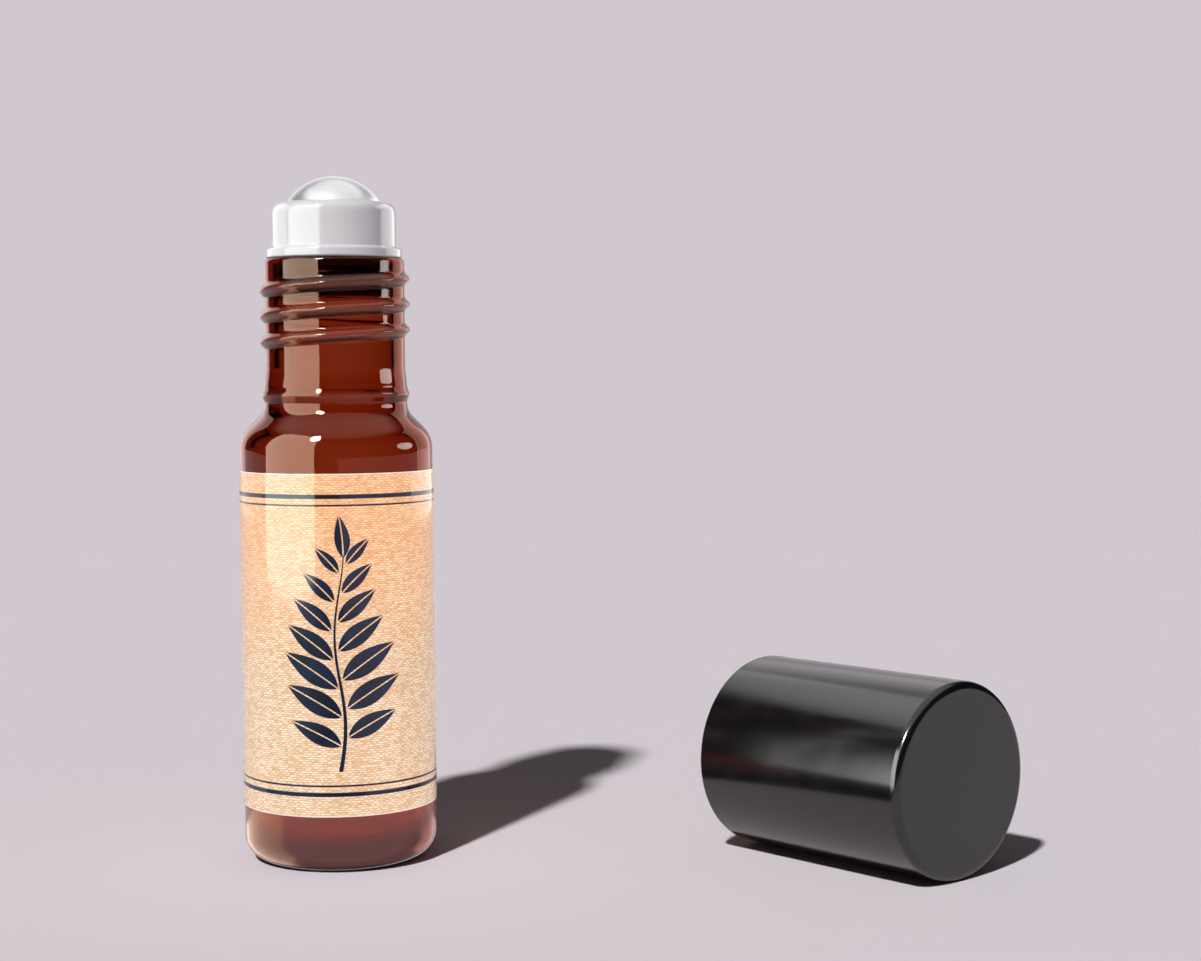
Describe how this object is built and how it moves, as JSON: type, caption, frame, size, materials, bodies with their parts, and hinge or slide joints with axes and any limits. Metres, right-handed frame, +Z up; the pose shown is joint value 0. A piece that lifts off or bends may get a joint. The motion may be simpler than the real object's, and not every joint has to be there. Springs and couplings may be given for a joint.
{
  "type": "roll-on bottle",
  "caption": "Amber glass roll-on bottle with a threaded neck, a steel ball in a white press-in housing, a linen-look wrap label and a black screw cap lying beside it.",
  "frame": {"origin": "centre of the bottle's foot ring, on the surface it stands on", "axes": "+Z up along the bottle's axis; +X along the lying cap's axis, towards its closed end"},
  "size_m": [0.0631, 0.0574, 0.0711],
  "materials": {
    "amber_glass": "clear amber, fire polished",
    "label_linen": "matt linen weave with dark blue print",
    "white_plastic": "moulded, glossy white",
    "ball_steel": "polished stainless steel",
    "black_plastic": "moulded, glossy black",
    "seal_foam": "soft white polyethylene foam"
  },
  "bodies": {
    "bottle": {"bottle_glass": "amber_glass", "label": "label_linen"},
    "fitment": {"roller_housing": "white_plastic"},
    "ball": {"roller_ball": "ball_steel"},
    "cap": {"cap_shell": "black_plastic", "cap_seal": "seal_foam"}
  },
  "joints": [
    {"name": "fitment_pull", "type": "slide", "parent": "bottle", "child": "fitment", "axis": [0, 0, 1], "range_m": [0, 0.02]},
    {"name": "ball_roll", "type": "hinge", "parent": "fitment", "child": "ball", "pos_m": [0, 0, 0.06545], "axis": [1, 0, 0], "continuous": true},
    {"name": "cap_lift", "type": "slide", "parent": "bottle", "child": "cap", "axis": [0, 0, 1], "range_m": [0, 0.08]}
  ]
}
